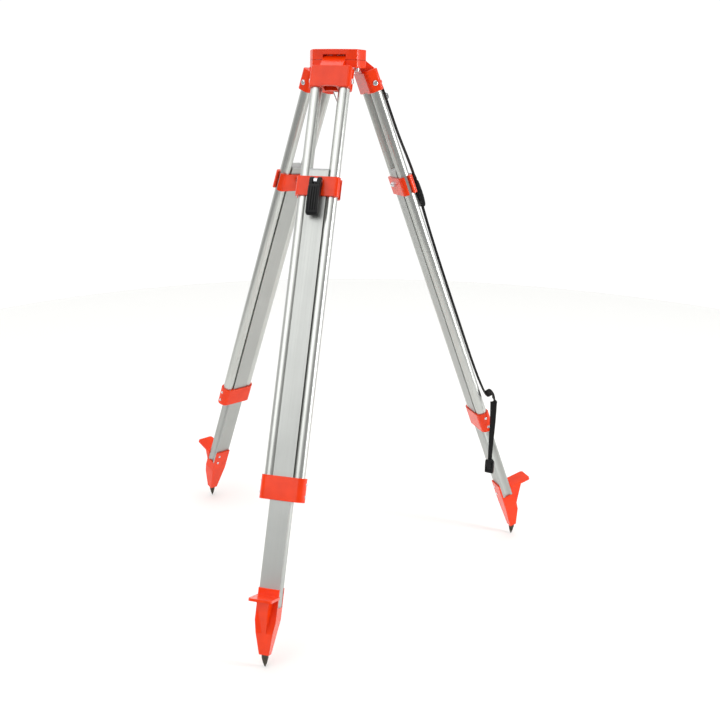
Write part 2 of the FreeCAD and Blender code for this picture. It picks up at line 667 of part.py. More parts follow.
def clamp_lever(leg, place):
    """Cam lever: each outline point is (mm outside the pivot, share of the length above it)."""
    name = leg + "_lever"
    corners = [(f"-lever_pivot - ({out})", f"-clamp_top - bolt_drop + lever_length * ({share})")
               for out, share in LEVER_OUTLINE]
    handle = slab(name + "_handle", corners, "lever_width")
    cam = rod(name + "_cam", "lever_cam_radius", "lever_width", "-lever_width / 2",
              "-lever_pivot", "-clamp_top - bolt_drop", "X")
    solid = joined(name + "_solid", [handle, cam])
    slot = box(name + "_slot", "lever_slot", "40", "14", "-lever_slot / 2", "-lever_pivot - 20",
               "-clamp_top - bolt_drop - 6.5")
    hole = rod(name + "_hole", "lever_pin_radius + hinge_play", "40", "-20", "-lever_pivot",
               "-clamp_top - bolt_drop", "X")
    keep(leg + "_clamp_lever", cut(leg + "_clamp_lever", solid, [slot, hole]), place)


def spike_placement():
    """The spike hangs plumb when the tripod stands, so it is turned back by the lean."""
    spot = FreeCAD.Vector(0, size("shoe_depth") / 4, -size("shoe_top") - size("shoe_length"))
    return FreeCAD.Placement(spot, FreeCAD.Rotation(X, size("lean_angle")))


def spike_solid(name):
    """Bullet point of a spike, in its own frame with the shoe's end at zero."""
    exposed = "spike_exposed"
    shank = rod(name + "_shank", "spike_radius", f"14 + {exposed} * 0.25", z=f"-{exposed} * 0.25")
    shoulder = doc.addObject("Part::Cone", name + "_shoulder")
    bind(shoulder, Radius1="spike_radius * 0.62", Radius2="spike_radius", Height=f"{exposed} * 0.42")
    at(shoulder, z=f"-{exposed} * 0.67")
    point = doc.addObject("Part::Cone", name + "_point")
    bind(point, Radius1="spike_radius * 0.12", Radius2="spike_radius * 0.62", Height=f"{exposed} * 0.33")
    at(point, z=f"-{exposed}")
    return joined(name, [shank, shoulder, point])


def shoe(leg, place):
    name = leg + "_shoe"
    half, back, front = "shoe_width / 2", "shoe_depth / 2", "-shoe_depth / 2"
    waist = "shoe_width / 2 * 0.81"
    straight = taper(name + "_straight", "shoe_top", "shoe_top + shoe_straight",
                     (half, front, back), (half, front, back))
    middle = taper(name + "_middle", "shoe_top + shoe_straight", "shoe_top + shoe_waist",
                   (half, front, back), (waist, front + " * 0.92", back))
    low = taper(name + "_low", "shoe_top + shoe_waist", "shoe_top + shoe_length",
                (waist, front + " * 0.92", back), ("shoe_tip_width / 2", "0", back))
    gusset = taper(name + "_gusset", "shoe_top + step_drop + 2", "shoe_top + shoe_waist",
                   ("gusset_width / 2", "-shoe_depth / 2 - step_length * 0.66", "-11.8"),
                   ("gusset_width / 6", front + " * 0.93", "-8"))
    plate = box(name + "_step", "step_width", "step_length + 3", "step_thickness",
                "-step_width / 2", "-shoe_depth / 2 - step_length",
                "-shoe_top - step_drop - step_thickness")
    plate = rounded(name + "_step_corner", plate, 6.0,
                    upright_at(-size("shoe_depth") / 2 - size("step_length")))
    solid = joined(name + "_solid", [straight, middle, low, gusset, plate])
    slot = box(name + "_slot", "80", "profile_depth + 0.1", "shoe_slot + 1", "-40",
               "-profile_depth / 2 - 0.05", "-shoe_top - shoe_slot")
    socket = group(name + "_socket_place",
                   [rod(name + "_socket", "spike_radius", "34", z="-20")])
    socket.Placement = spike_placement()
    tools = [slot, socket]
    for n in range(2):
        tools.append(rod(f"{name}_rivet_hole_{n}", "rivet_radius / 2", "10", "shoe_width / 4",
                         "6", f"-shoe_top - 12 - {20 * n}", "Y"))
    keep(leg + "_shoe", cut(leg + "_shoe", solid, tools), place)


def shoe_rivets(leg, place):
    heads = []
    for n in range(2):
        name = f"{leg}_shoe_rivet_{n}"
        drop = f"-shoe_top - 12 - {20 * n}"
        disc = rod(name + "_disc", "rivet_radius", "1.6", "shoe_width / 4", "shoe_depth / 2",
                   drop, "Y")
        face = size("shoe_depth") / 2 + 1.6
        dome = rounded(name + "_dome", disc, 1.4, rim_at("Y", face))
        shank = rod(name + "_shank", "rivet_radius / 2", "3.4", "shoe_width / 4",
                    "shoe_depth / 2 - 3.4", drop, "Y")
        heads.append(joined(name, [dome, shank]))
    keep(leg + "_shoe_rivets", group(leg + "_shoe_rivets", heads), place)


def spike(leg, place):
    solid = spike_solid(leg + "_spike_solid")
    solid.Placement = spike_placement()
    keep(leg + "_spike", group(leg + "_spike", [solid]), place)


def build_leg(leg):
    place = leg_placement(leg)
    tubes(leg, place)
    hinge_casting(leg, place)
    side_buttons(leg, place, "casting_screws", "side_screw_radius", 2.6, "casting_width / 2",
                 ["side_screw_drop"])
    lower_collar(leg, place)
    side_buttons(leg, place, "collar_rivets", "rivet_radius", 1.6, "collar_width / 2",
                 COLLAR_RIVETS)
    inner_profile(leg, place)
    profile_cap(leg, place)
    clamp_plate(leg, place, "clamp_outer_plate", True)
    clamp_plate(leg, place, "clamp_inner_plate", False)
    clamp_bolt(leg, place)
    clamp_nut(leg, place)
    clamp_lever(leg, place)
    shoe(leg, place)
    shoe_rivets(leg, place)
    spike(leg, place)


# ---------------------------------------------------------------- carry strap

# (outside the tube plane, below the pin), down the outer face of the right leg
STRAP_RUN = [(16.0, 51.3), (16.9, 72.0), (17.2, 110.0), (18.0, 158.0), (21.4, 204.0),
             (23.4, 243.0), (20.4, 292.0), (17.6, 372.0), (17.0, 480.0), (17.3, 598.0),
             (17.9, 690.0), (22.0, 748.0)]
# (sideways, down) from the fold, hanging plumb beside the leg
TAIL_RUN = [(0.0, 0.0), (1.6, 28.0), (3.2, 60.0), (1.0, 96.0), (-0.4, 128.0), (0.0, 150.0)]
TAIL_START = FreeCAD.Vector(-52.6, -31.0, -752.0)
# The strap's diagonal fold: where it ends across the leg, how far it turns outward in degrees,
# its height, its bottom edge below the pin and how far its middle is outside the tube plane.
FOLD_END, FOLD_TURN, FOLD_HEIGHT, FOLD_DROP, FOLD_OUT = 46.3, 17.0, 22.0, 764.0, 22.0


def rounded_path(points):
    """Straight runs joined by arcs as large as the two runs beside each allow."""
    edges = []
    start = points[0]
    for before, corner, after in zip(points, points[1:], points[2:]):
        back, on = before - corner, after - corner
        reach = 0.45 * min(back.Length, on.Length)
        enter = corner + back.normalize() * reach
        leave = corner + on.normalize() * reach
        half_turn = (math.pi - back.getAngle(on)) / 2
        radius = reach / math.tan(half_turn)
        middle_way = (back + on).normalize()
        centre = corner + middle_way * math.hypot(radius, reach)
        middle = centre - middle_way * radius
        print("strap arc radius", round(radius))
        edges.append(Part.LineSegment(start, enter).toShape())
        edges.append(Part.Arc(enter, middle, leave).toShape())
        start = leave
    edges.append(Part.LineSegment(start, points[-1]).toShape())
    return Part.Wire(edges)


def ribbon(name, points, across):
    """Webbing: a flat section swept along a path, its width along one direction."""
    path = rounded_path(points)
    way = (points[1] - points[0]).normalize()
    out = across.cross(way).normalize() * (size("strap_thickness") / 2)
    side = FreeCAD.Vector(across).normalize() * (size("strap_width") / 2)
    corner = points[0]
    section = Part.makePolygon([corner - side - out, corner + side - out, corner + side + out,
                                corner - side + out, corner - side - out])
    item = doc.addObject("Part::Feature", name)
    item.Shape = path.makePipeShell([section], True, False)
    volume = path.Length * size("strap_width") * size("strap_thickness")
    print(name, "length", round(path.Length), "volume ratio", round(item.Shape.Volume / volume, 4))
    return item


def strap():
    place = leg_placement("right")
    run = [FreeCAD.Vector(-size("strap_across"), -out, -drop) for out, drop in STRAP_RUN]
    half_width = size("strap_width") / 2
    reach = (FOLD_END - size("strap_across")) / math.cos(math.radians(FOLD_TURN))
    fold = box("strap_fold", str(reach + half_width), "strap_thickness", str(FOLD_HEIGHT),
               str(-reach), "-strap_thickness / 2", "0")
    fold = group("strap_fold_turned", [fold])
    fold.Placement = FreeCAD.Placement(
        FreeCAD.Vector(-size("strap_across"), -FOLD_OUT, -FOLD_DROP),
        FreeCAD.Rotation(Z, FOLD_TURN))
    keep("strap_webbing", joined("strap_webbing", [ribbon("strap_run", run, X), fold]), place)
    plumb = FreeCAD.Rotation(X, size("lean_angle"))
    across = plumb.multVec(FreeCAD.Vector(1, 1, 0))
    sideways = plumb.multVec(FreeCAD.Vector(1, -1, 0)).normalize()
    down = plumb.multVec(FreeCAD.Vector(0, 0, -1))
    hang = [TAIL_START + sideways * side + down * drop for side, drop in TAIL_RUN]
    keep("strap_tail", ribbon("strap_tail", hang, across), place)

    slider = box("slider_outer", "strap_width + 7", "2.4", "12", "-strap_across - strap_width / 2 - 3.5",
                 "-20.3", "-84")
    windows = [box(f"slider_window_{n}", "strap_width + 1", "6", "3.2",
                   "-strap_across - strap_width / 2 - 0.5", "-23", f"-82 + {n} * 4.8")
               for n in range(2)]
    slider = rounded("slider_round", slider, 2.4, lambda edge: along(edge, Y))
    keep("strap_slider", cut("strap_slider", slider, windows), place)

    block = box("buckle_block", "26", "9", "36", "-13", "-4.5", "-36")
    block = rounded("buckle_round", block, 3.0, lambda edge: along(edge, Y))
    slot = box("buckle_slot", "strap_width + 2", "12", "3", "-strap_width / 2 - 1", "-6", "-31")
    buckle = cut("buckle", block, [slot])
    turn = FreeCAD.Placement(hang[-1] + down * 0.3, plumb.multiply(FreeCAD.Rotation(Z, 45)))
    keep("strap_buckle", group("strap_buckle", [buckle]), place.multiply(turn))


head_plate()
hinge_caps()
hinge_pins()
cap_bolts()
screw_arm()
screw_bush()
instrument_screw()
screw_knob()
plumb_parts()
for leg_name in LEGS:
    build_leg(leg_name)
strap()

doc.recompute()
faults = []
for item in doc.Objects:
    if "Invalid" in item.State or "Error" in item.State:
        faults.append(item.Name)
for node in nodes:
    if node.Shape.isNull() or not node.Shape.isValid() or not node.Shape.Solids:
        faults.append(node.Label)
if faults:
    raise SystemExit("not built soundly: " + ", ".join(faults))

os.makedirs("parts", exist_ok=True)
for node in nodes:
    node.Shape.exportStep(f"parts/{node.Label}.step")
    print(node.Label, round(node.Shape.Volume), len(node.Shape.Solids))
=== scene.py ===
"""Surveying tripod: finishes, clamp levers, instrument screw and carry strap around the CAD frame.

Every piece is a surface worked out from its own sizes and placed from the joints of the frame.
Sizes in the settings are metres.
"""

import json
import math

import bpy
import numpy as np
from mathutils import Matrix, Vector


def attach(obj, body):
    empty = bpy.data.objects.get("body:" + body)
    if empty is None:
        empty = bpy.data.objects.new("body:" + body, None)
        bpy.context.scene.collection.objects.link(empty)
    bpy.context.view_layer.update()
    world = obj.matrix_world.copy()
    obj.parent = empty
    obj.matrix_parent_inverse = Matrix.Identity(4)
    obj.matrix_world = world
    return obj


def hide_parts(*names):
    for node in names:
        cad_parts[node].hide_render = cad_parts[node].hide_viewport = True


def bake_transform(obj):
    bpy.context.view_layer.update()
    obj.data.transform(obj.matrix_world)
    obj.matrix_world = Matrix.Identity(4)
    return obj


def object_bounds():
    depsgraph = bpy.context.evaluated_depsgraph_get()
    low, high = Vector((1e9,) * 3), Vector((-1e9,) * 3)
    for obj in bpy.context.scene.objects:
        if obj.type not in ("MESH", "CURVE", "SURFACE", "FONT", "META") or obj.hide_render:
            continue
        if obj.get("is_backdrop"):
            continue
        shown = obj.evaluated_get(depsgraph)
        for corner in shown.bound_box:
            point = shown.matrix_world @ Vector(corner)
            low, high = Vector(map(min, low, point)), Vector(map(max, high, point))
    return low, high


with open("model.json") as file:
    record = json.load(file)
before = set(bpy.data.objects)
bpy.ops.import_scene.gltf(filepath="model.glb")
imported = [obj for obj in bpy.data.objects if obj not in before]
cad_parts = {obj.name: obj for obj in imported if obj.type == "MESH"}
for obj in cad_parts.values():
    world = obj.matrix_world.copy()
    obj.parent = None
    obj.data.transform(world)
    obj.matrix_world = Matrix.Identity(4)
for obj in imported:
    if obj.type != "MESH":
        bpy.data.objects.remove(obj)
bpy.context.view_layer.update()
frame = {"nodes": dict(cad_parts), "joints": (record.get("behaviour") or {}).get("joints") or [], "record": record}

bl_info = {
    "name": "Surveying tripod",
    "version": (1, 0, 0),
    "blender": (4, 5, 0),
    "location": "3D View > Sidebar > Tripod",
    "description": "Finishes and detailed pieces for an aluminium surveying tripod",
    "category": "Object",
}

LEGS = ("front", "right", "left")
JOINTS = {joint["name"]: joint for joint in frame["joints"]}
MM = 0.001

# How far the plane of a leg's tubes lies outside its hinge pin.
TUBE_PLANE = 10 * MM

# Middle of the strap along the right leg: outward from the tube plane and down from the hinge pin.
STRAP_RUN = (
    (0.0160, 0.0513), (0.0169, 0.0720), (0.0172, 0.1100), (0.0180, 0.1580), (0.0214, 0.2040),
    (0.0234, 0.2430), (0.0204, 0.2920), (0.0176, 0.3720), (0.0170, 0.4800), (0.0173, 0.5980),
    (0.0179, 0.6900), (0.0220, 0.7480),
)
STRAP_ACROSS = -0.0200

# The fold, where the strap turns off the leg: across the leg, outward and down.
STRAP_FOLD = ((-0.0250, 0.0245, 0.7560), (-0.0440, 0.0300, 0.7440))

# Hanging tail, from its start: sideways and straight down.
TAIL_START = (-0.0526, 0.0310, 0.7520)
TAIL_RUN = (
    (0.0, 0.0), (0.0016, 0.0280), (0.0032, 0.0600), (0.0010, 0.0960), (-0.0004, 0.1280),
    (0.0, 0.1500),
)


def linear(text):
    """A colour written as sRGB hex, such as "#E23A08", as the linear values that shaders use."""
    parts = np.array([int(text[i:i + 2], 16) for i in (1, 3, 5)]) / 255
    curve = ((parts + 0.055) / 1.055) ** 2.4
    return tuple(float(v) for v in np.where(parts <= 0.04045, parts / 12.92, curve))


# ---------------------------------------------------------------- settings


def length_setting(name, description, default):
    return bpy.props.FloatProperty(
        name=name, description=description, default=default, min=0.0, precision=5,
        subtype="DISTANCE", unit="LENGTH",
    )


def colour_setting(name, description, default):
    return bpy.props.FloatVectorProperty(
        name=name, description=description, default=linear(default), min=0.0, max=1.0,
        subtype="COLOR", size=3,
    )


class TripodStageSettings(bpy.types.PropertyGroup):
    """Floor, lights and camera."""

    camera_position: bpy.props.FloatVectorProperty(
        name="Camera position", description="Where the camera stands", size=3,
        default=(0.4635, -1.7193, -0.1377), subtype="TRANSLATION", unit="LENGTH",
    )
    camera_forward: bpy.props.FloatVectorProperty(
        name="Camera direction", description="The way that the camera looks", size=3,
        default=(-0.23407, 0.94083, -0.24506), subtype="DIRECTION",
    )
    camera_up: bpy.props.FloatVectorProperty(
        name="Camera up", description="The way that is up in the picture", size=3,
        default=(-0.08021, 0.23252, 0.96928), subtype="DIRECTION",
    )
    camera_lens: bpy.props.FloatProperty(
        name="Focal length", description="Focal length on a 36 mm wide sensor", default=43.7,
        min=10.0, subtype="DISTANCE_CAMERA",
    )
    camera_shift: bpy.props.FloatVectorProperty(
        name="Camera shift", description="Shift of the picture, as a share of its width", size=2,
        default=(0.0115, -0.0204),
    )
    floor_colour: colour_setting("Floor", "Pale seamless floor", "#F0F0EE")
    key_power: bpy.props.FloatProperty(
        name="Key light", description="Power of the large light in front", default=16.0,
        min=0.0, unit="POWER",
    )
    side_power: bpy.props.FloatProperty(
        name="Side light", description="Power of the strip light on the right", default=30.0,
        min=0.0, unit="POWER",
    )
    top_power: bpy.props.FloatProperty(
        name="Top light", description="Power of the light overhead", default=9.0, min=0.0,
        unit="POWER",
    )
    sun_strength: bpy.props.FloatProperty(
        name="Overhead light", description="Strength of the wide light from above", default=2.4,
        min=0.0,
    )
    sun_direction: bpy.props.FloatVectorProperty(
        name="Overhead light direction", description="The way that the wide light shines", size=3,
        default=(0.25, 0.3, -1.0), subtype="DIRECTION",
    )
    wall_strength: bpy.props.FloatProperty(
        name="Walls", description="Brightness of the room near the horizon", default=1.05, min=0.0,
    )
    front_share: bpy.props.FloatProperty(
        name="Front of the room", description="Its brightness, as a share of the back's",
        default=0.4, min=0.0, max=1.0,
    )
    ceiling_strength: bpy.props.FloatProperty(
        name="Ceiling", description="Brightness of the room overhead", default=0.35, min=0.0,
    )


class TripodFinishSettings(bpy.types.PropertyGroup):
    """Colours of the materials."""

    paint: colour_setting("Powder coat", "Glossy orange coat of the castings", "#EE3A04")
    paint_dark: colour_setting("Powder coat, thick", "The coat where it pooled", "#DC3002")
    tube: colour_setting("Leg tubes", "Satin anodised aluminium", "#C6C8C4")
    profile: colour_setting("Inner profiles", "Matte anodised aluminium", "#B2B4B1")
    nylon: colour_setting("Clamp levers", "Black glass-filled nylon", "#0B0C0D")
    end_cap: colour_setting("Profile caps", "Light grey moulded nylon", "#B9BCBB")
    zinc: colour_setting("Screws and bolts", "Bright zinc plate", "#D6D8DA")
    spike: colour_setting("Spikes", "Blackened turned steel", "#4E4C44")
    screw: colour_setting("Instrument screw", "Turned steel", "#C2C1BD")
    brass: colour_setting("Bush", "Turned brass", "#C9A35A")
    webbing: colour_setting("Strap", "Black polypropylene webbing", "#0E0E0F")


class TripodLeverSettings(bpy.types.PropertyGroup):
    """Sizes of the clamp levers."""

    width: length_setting("Width", "Over both ears", 23 * MM)
    length: length_setting("Length", "Pivot to free end", 66 * MM)
    cam_radius: length_setting("Cam radius", "Round end about the pivot", 7.2 * MM)
    slot: length_setting("Slot", "Between the ears", 7 * MM)
    groove_depth: length_setting("Groove depth", "Finger grooves along the lever", 1.1 * MM)
    groove_width: length_setting("Groove width", "Finger grooves along the lever", 1.5 * MM)
    groove_spacing: length_setting("Groove spacing", "Middle to middle", 4.6 * MM)


class TripodScrewSettings(bpy.types.PropertyGroup):
    """Sizes of the instrument screw, 5/8 inch with 11 threads to the inch."""

    radius: length_setting("Thread radius", "Outside of the thread", 7.94 * MM)
    pitch: length_setting("Pitch", "From thread to thread", 25.4 / 11 * MM)
    depth: length_setting("Thread depth", "Crest to root", 1.25 * MM)
    thread_length: length_setting("Thread length", "Below the head's top face", 28 * MM)
    tip: length_setting("Tip", "Chamfered end above the top face", 1.2 * MM)
    shank_radius: length_setting("Shank radius", "Plain part", 7 * MM)
    bore_radius: length_setting("Bore radius", "Hole along the screw", 3.5 * MM)
    length: length_setting("Length", "Below the head's top face", 69 * MM)


class TripodStrapSettings(bpy.types.PropertyGroup):
    """Sizes of the carry strap."""

    width: length_setting("Width", "Webbing width", 16 * MM)
    thickness: length_setting("Thickness", "Webbing thickness", 1.6 * MM)
    gather_length: length_setting(
        "Gather length", "Over which the hanging end is gathered", 140 * MM)
    gather: bpy.props.FloatProperty(
        name="Gather", description="Share of the width lost at the end", default=0.42,
        min=0.0, max=0.9,
    )
    warp_spacing: length_setting("Warp spacing", "Between lengthwise yarns", 1.3 * MM)
    weft_spacing: length_setting("Weft spacing", "Between crosswise yarns", 1.5 * MM)


# ---------------------------------------------------------------- shapes


def power(values, exponent):
    """Each value to a power, keeping its sign, which squares off a circle into a rounded box."""
    return np.sign(values) * np.abs(values) ** exponent


def section_angles(count, exponent):
    """Angles round a squared-off ellipse, chosen so that its points lie evenly along each side."""
    even = np.linspace(-1, 1, count)
    over = np.arccos(power(even, 1 / exponent))
    beside = np.arcsin(power(even, 1 / exponent))
    angles = np.concatenate([over, 2 * np.pi - over, beside, np.pi - beside]) % (2 * np.pi)
    return np.unique(np.round(angles, 4))


def grid_quads(rows, columns, round_rows):
    """Quads of a grid whose columns go all the way round, and whose rows do if asked."""
    last = rows if round_rows else rows - 1
    i, j = np.meshgrid(np.arange(last), np.arange(columns), indexing="ij")
    below, beside = (i + 1) % rows, (j + 1) % columns
    corners = [i * columns + j, i * columns + beside, below * columns + beside, below * columns + j]
    return np.stack(corners, -1).reshape(-1, 4)


def outward(points, faces):
    """The faces turned round if the solid that they close has a negative volume."""
    total = 0.0
    for face in faces:
        a = points[face[:, 0]]
        for n in range(1, face.shape[1] - 1):
            total += np.einsum("ij,ij->", a, np.cross(points[face[:, n]], points[face[:, n + 1]]))
    return [face[:, ::-1] for face in faces] if total < 0 else faces


def skin(rings):
    """Closed skin over a stack of rings: quads between neighbours, and at each end a fan of
    triangles to the middle of the last ring."""
    rows, columns = rings.shape[:2]
    points = np.concatenate([rings.reshape(-1, 3), rings[:1].mean(1), rings[-1:].mean(1)])
    j = np.arange(columns)
    beside = (j + 1) % columns
    top = np.full(columns, rows * columns)
    first = np.stack([beside, j, top], -1)
    last = np.stack([j + (rows - 1) * columns, beside + (rows - 1) * columns, top + 1], -1)
    faces = [grid_quads(rows, columns, False), np.concatenate([first, last])]
    return points, outward(points, faces)


def ring_skin(rings):
    """Closed skin of a hollow piece: the stack of rings runs down outside and back up inside."""
    rows, columns = rings.shape[:2]
    points = rings.reshape(-1, 3)
    return points, outward(points, [grid_quads(rows, columns, True)])


def placed(points, origin, axes):
    """Points from a piece's own directions to the row frame: origin plus each coordinate times
    its direction."""
    return np.array(origin) + points @ np.array([tuple(axis) for axis in axes])


def mesh_object(name, skins, material, crease=35):
    """One mesh object at the origin from closed skins, smooth but for edges sharper than crease."""
    points, faces, start = [], [], 0
    for some_points, some_faces in skins:
        points.append(some_points)
        for face in some_faces:
            faces.extend((face + start).tolist())
        start += len(some_points)
    mesh = bpy.data.meshes.new(name)
    mesh.from_pydata(np.concatenate(points).tolist(), [], faces)
    mesh.validate()
    mesh.polygons.foreach_set("use_smooth", np.ones(len(mesh.polygons), bool))
    mesh.set_sharp_from_angle(angle=math.radians(crease))
    mesh.materials.append(material)
    item = bpy.data.objects.new(name, mesh)
    bpy.context.scene.collection.objects.link(item)
    return item


def rounded_block(centre, half, axes, exponent=0.28, count=9):
    """A box with rounded edges: a ball whose sines and cosines are raised to a small power,
    stretched to the half sizes."""
    around = section_angles(count, exponent)
    up = np.arcsin(power(np.linspace(-0.9995, 0.9995, 2 * count), 1 / exponent))
    up, around = np.meshgrid(up, around, indexing="ij")
    flat = power(np.cos(up), exponent)
    points = np.stack([
        half[0] * flat * power(np.cos(around), exponent),
        half[1] * flat * power(np.sin(around), exponent),
        half[2] * power(np.sin(up), exponent),
    ], -1)
    return skin(placed(points + np.array(centre), (0, 0, 0), axes))


def leg_axes(leg):
    """A leg's directions across, outward and down, from its hinge and its slide."""
    across = -Vector(JOINTS[f"{leg}_leg_hinge"]["axis"])
    down = Vector(JOINTS[f"{leg}_leg_slide"]["axis"])
    return across, down.cross(across), down


def leg_point(leg, across, out, down):
    """A point given across the leg, outward from the tube plane and down from the hinge pin."""
    x, y, z = leg_axes(leg)
    pin = Vector(JOINTS[f"{leg}_leg_hinge"]["pos_m"])
    return pin + x * across + y * (out + TUBE_PLANE) + z * down


# ---------------------------------------------------------------- finishes


def node(tree, kind, settings=None, links=None):
    """Adds one node. Each setting goes to the input of that name or number, or else to the
    node's own option, and each link joins another node's output to an input."""
    item = tree.nodes.new(kind)
    for name, value in (settings or {}).items():
        if isinstance(name, int) or name in item.inputs:
            item.inputs[name].default_value = value
        else:
            setattr(item, name, value)
    for name, source in (links or {}).items():
        tree.links.new(source, item.inputs[name])
    return item


def new_finish(name, colour, **sockets):
    """A material with one Principled shader, with its even values on the shader's own sockets."""
    material = bpy.data.materials.get(name) or bpy.data.materials.new(name)
    material.use_nodes = True
    tree = material.node_tree
    tree.nodes.clear()
    shader = node(tree, "ShaderNodeBsdfPrincipled", {"Base Color": (*colour, 1.0), **sockets})
    node(tree, "ShaderNodeOutputMaterial", links={"Surface": shader.outputs["BSDF"]})
    place = node(tree, "ShaderNodeTexCoord").outputs["Object"]
    return material, tree, shader, place


def powder_coat(settings):
    """Polyester powder coat on die-cast aluminium, baked to a gloss: it gives a deep even colour
    under a clear skin, a faint orange peel, and rounded edges that catch the light."""
    material, tree, shader, place = new_finish(
        "gloss_orange_powder_coat", settings.paint,
        **{"IOR": 1.5, "Specular IOR Level": 0.22, "Coat Weight": 0.2, "Coat Roughness": 0.05},
    )
    # Coat thickness wanders over about 25 mm, which deepens the colour a little.
    cloud = node(tree, "ShaderNodeTexNoise", {"Scale": 1 / 0.025, "Detail": 3.0}, {"Vector": place})
    share = node(tree, "ShaderNodeMapRange", {"From Min": 0.35, "From Max": 0.7, "To Max": 0.7},
                 {"Value": cloud.outputs["Fac"]})
    tint = node(tree, "ShaderNodeMix", {"data_type": "RGBA", 6: (*settings.paint, 1.0),
                                        7: (*settings.paint_dark, 1.0)},
                {0: share.outputs["Result"]})
    tree.links.new(tint.outputs[2], shader.inputs["Base Color"])
    # Orange peel is about 2 mm from crest to crest and a few hundredths deep.
    peel = node(tree, "ShaderNodeTexNoise", {"Scale": 1 / 0.002, "Detail": 1.0}, {"Vector": place})
    edge = node(tree, "ShaderNodeBevel", {"Radius": 0.0014, "samples": 4})
    bump = node(tree, "ShaderNodeBump", {"Strength": 0.3, "Distance": 0.00004},
                {"Height": peel.outputs["Fac"], "Normal": edge.outputs["Normal"]})
    tree.links.new(bump.outputs["Normal"], shader.inputs["Normal"])
    gloss = node(tree, "ShaderNodeMapRange", {"To Min": 0.18, "To Max": 0.28},
                 {"Value": cloud.outputs["Fac"]})
    tree.links.new(gloss.outputs["Result"], shader.inputs["Roughness"])
    return material


def drawn_metal(name, leg, colour, grain, roughness, depth):
    """Satin anodised aluminium, drawn or extruded along the leg: a soft sheen with fine lengthwise
    streaks. The streaks are grain wide and drawn some hundred times longer."""
    material, tree, shader, place = new_finish(
        name, colour, **{"Metallic": 1.0, "Roughness": sum(roughness) / 2},
    )
    across, out, down = leg_axes(leg)
    turn = Matrix((across, out, down)).transposed().to_euler()
    pin = Vector(JOINTS[f"{leg}_leg_hinge"]["pos_m"])
    lined = node(tree, "ShaderNodeMapping",
                 {"vector_type": "TEXTURE", "Location": pin, "Rotation": turn,
                  "Scale": (grain, grain, grain * 260)}, {"Vector": place})
    streak = node(tree, "ShaderNodeTexNoise", {"Scale": 1.0, "Detail": 3.0, "Roughness": 0.6},
                  {"Vector": lined.outputs["Vector"]})
    gloss = node(tree, "ShaderNodeMapRange",
                 {"From Min": 0.3, "From Max": 0.7, "To Min": roughness[0], "To Max": roughness[1]},
                 {"Value": streak.outputs["Fac"]})
    tree.links.new(gloss.outputs["Result"], shader.inputs["Roughness"])
    # Handling marks and the anodising bath leave clouds some 60 mm across.
    cloud = node(tree, "ShaderNodeTexNoise", {"Scale": 1 / 0.06, "Detail": 4.0}, {"Vector": place})
    share = node(tree, "ShaderNodeMapRange", {"From Min": 0.3, "From Max": 0.75, "To Max": 0.5},
                 {"Value": cloud.outputs["Fac"]})
    dull = tuple(0.84 * c for c in colour)
    tint = node(tree, "ShaderNodeMix", {"data_type": "RGBA", 6: (*colour, 1.0), 7: (*dull, 1.0)},
                {0: share.outputs["Result"]})
    tree.links.new(tint.outputs[2], shader.inputs["Base Color"])
    bump = node(tree, "ShaderNodeBump", {"Strength": 0.5, "Distance": depth},
                {"Height": streak.outputs["Fac"]})
    tree.links.new(bump.outputs["Normal"], shader.inputs["Normal"])
    return material


def moulded(name, colour, grit, roughness, depth):
    """Moulded nylon or acetal: a spark-eroded mould leaves a fine grain that breaks up the
    shine."""
    material, tree, shader, place = new_finish(name, colour, **{"Specular IOR Level": 0.25})
    grain = node(tree, "ShaderNodeTexNoise", {"Scale": 1 / grit, "Detail": 2.0}, {"Vector": place})
    rub = node(tree, "ShaderNodeTexNoise", {"Scale": 1 / 0.012, "Detail": 3.0}, {"Vector": place})
    gloss = node(tree, "ShaderNodeMapRange",
                 {"From Min": 0.3, "From Max": 0.7, "To Min": roughness - 0.08,
                  "To Max": roughness + 0.08}, {"Value": rub.outputs["Fac"]})
    tree.links.new(gloss.outputs["Result"], shader.inputs["Roughness"])
    worn = tuple(c * 1.5 + 0.004 for c in colour)
    share = node(tree, "ShaderNodeMapRange", {"From Min": 0.5, "From Max": 0.8, "To Max": 0.6},
                 {"Value": rub.outputs["Fac"]})
    tint = node(tree, "ShaderNodeMix", {"data_type": "RGBA", 6: (*colour, 1.0),
                                        7: (*(min(c, 1.0) for c in worn), 1.0)},
                {0: share.outputs["Result"]})
    tree.links.new(tint.outputs[2], shader.inputs["Base Color"])
    bump = node(tree, "ShaderNodeBump", {"Strength": 0.6, "Distance": depth},
                {"Height": grain.outputs["Fac"]})
    tree.links.new(bump.outputs["Normal"], shader.inputs["Normal"])
    return material


def plated(name, colour, roughness):
    """Zinc-plated steel: a bright metal, slightly clouded where the bath left it uneven."""
    material, tree, shader, place = new_finish(
        name, colour, **{"Metallic": 1.0, "Roughness": roughness},
    )
    # Plating clouds are about 3 mm across on screws of this size.
    cloud = node(tree, "ShaderNodeTexNoise", {"Scale": 1 / 0.003, "Detail": 4.0}, {"Vector": place})
    gloss = node(tree, "ShaderNodeMapRange",
                 {"From Min": 0.3, "From Max": 0.7, "To Min": roughness - 0.07,
                  "To Max": roughness + 0.1}, {"Value": cloud.outputs["Fac"]})
    tree.links.new(gloss.outputs["Result"], shader.inputs["Roughness"])
    dull = tuple(c * f for c, f in zip(colour, (0.8, 0.82, 0.86)))
    share = node(tree, "ShaderNodeMapRange", {"From Min": 0.4, "From Max": 0.8},
                 {"Value": cloud.outputs["Fac"]})
    tint = node(tree, "ShaderNodeMix", {"data_type": "RGBA", 6: (*colour, 1.0), 7: (*dull, 1.0)},
                {0: share.outputs["Result"]})
    tree.links.new(tint.outputs[2], shader.inputs["Base Color"])
    return material


